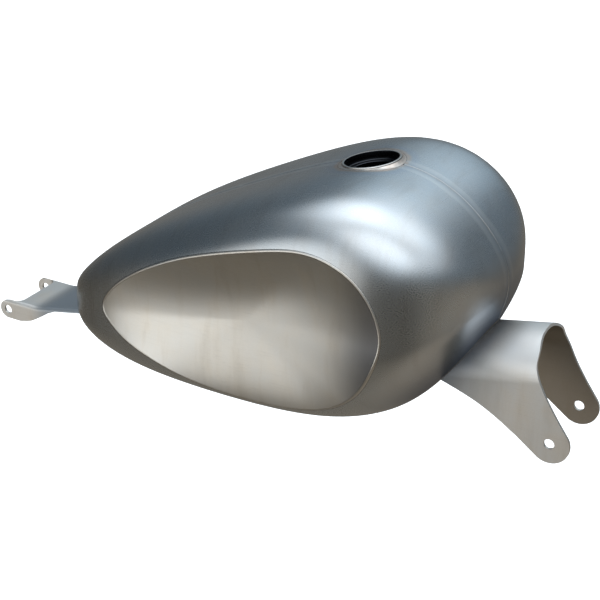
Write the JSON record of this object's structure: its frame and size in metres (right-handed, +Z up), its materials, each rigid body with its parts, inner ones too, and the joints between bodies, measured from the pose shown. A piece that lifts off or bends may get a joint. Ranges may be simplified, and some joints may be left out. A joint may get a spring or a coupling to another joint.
{
  "type": "motorcycle fuel tank",
  "caption": "Teardrop welded steel motorcycle fuel tank with dished sides, crown filler neck, straddling tunnel, saddle-shaped front mount and forked rear mount plate",
  "frame": {"origin": "on the front bolt axis, midway between the two front ears", "axes": "+X to the front of the motorcycle, +Y to its left side, +Z up; the part is mirror-symmetric about Y = 0 except for the petcock bung"},
  "size_m": [0.718, 0.2734, 0.2879],
  "materials": {
    "skin": "raw satin steel, cool blue-grey",
    "panel": "raw satin steel, warm grey",
    "weld": "ground weld metal",
    "tunnel_sheet": "raw pressed sheet",
    "bracket": "raw sheet, satin",
    "neck": "turned steel"
  },
  "bodies": {
    "root": {"right_shell": "skin", "left_shell": "skin", "right_dish": "panel", "left_dish": "panel", "right_dish_weld": "weld", "left_dish_weld": "weld", "crown_weld_front": "weld", "crown_weld_rear": "weld", "right_bottom_weld": "weld", "left_bottom_weld": "weld", "tunnel": "tunnel_sheet", "front_bracket": "bracket", "rear_bracket": "bracket", "front_bracket_weld_right": "weld", "front_bracket_weld_left": "weld", "rear_bracket_weld_right": "weld", "rear_bracket_weld_left": "weld", "filler_neck": "neck", "filler_weld": "weld", "petcock_bung": "neck", "petcock_weld": "weld"}
  },
  "joints": []
}
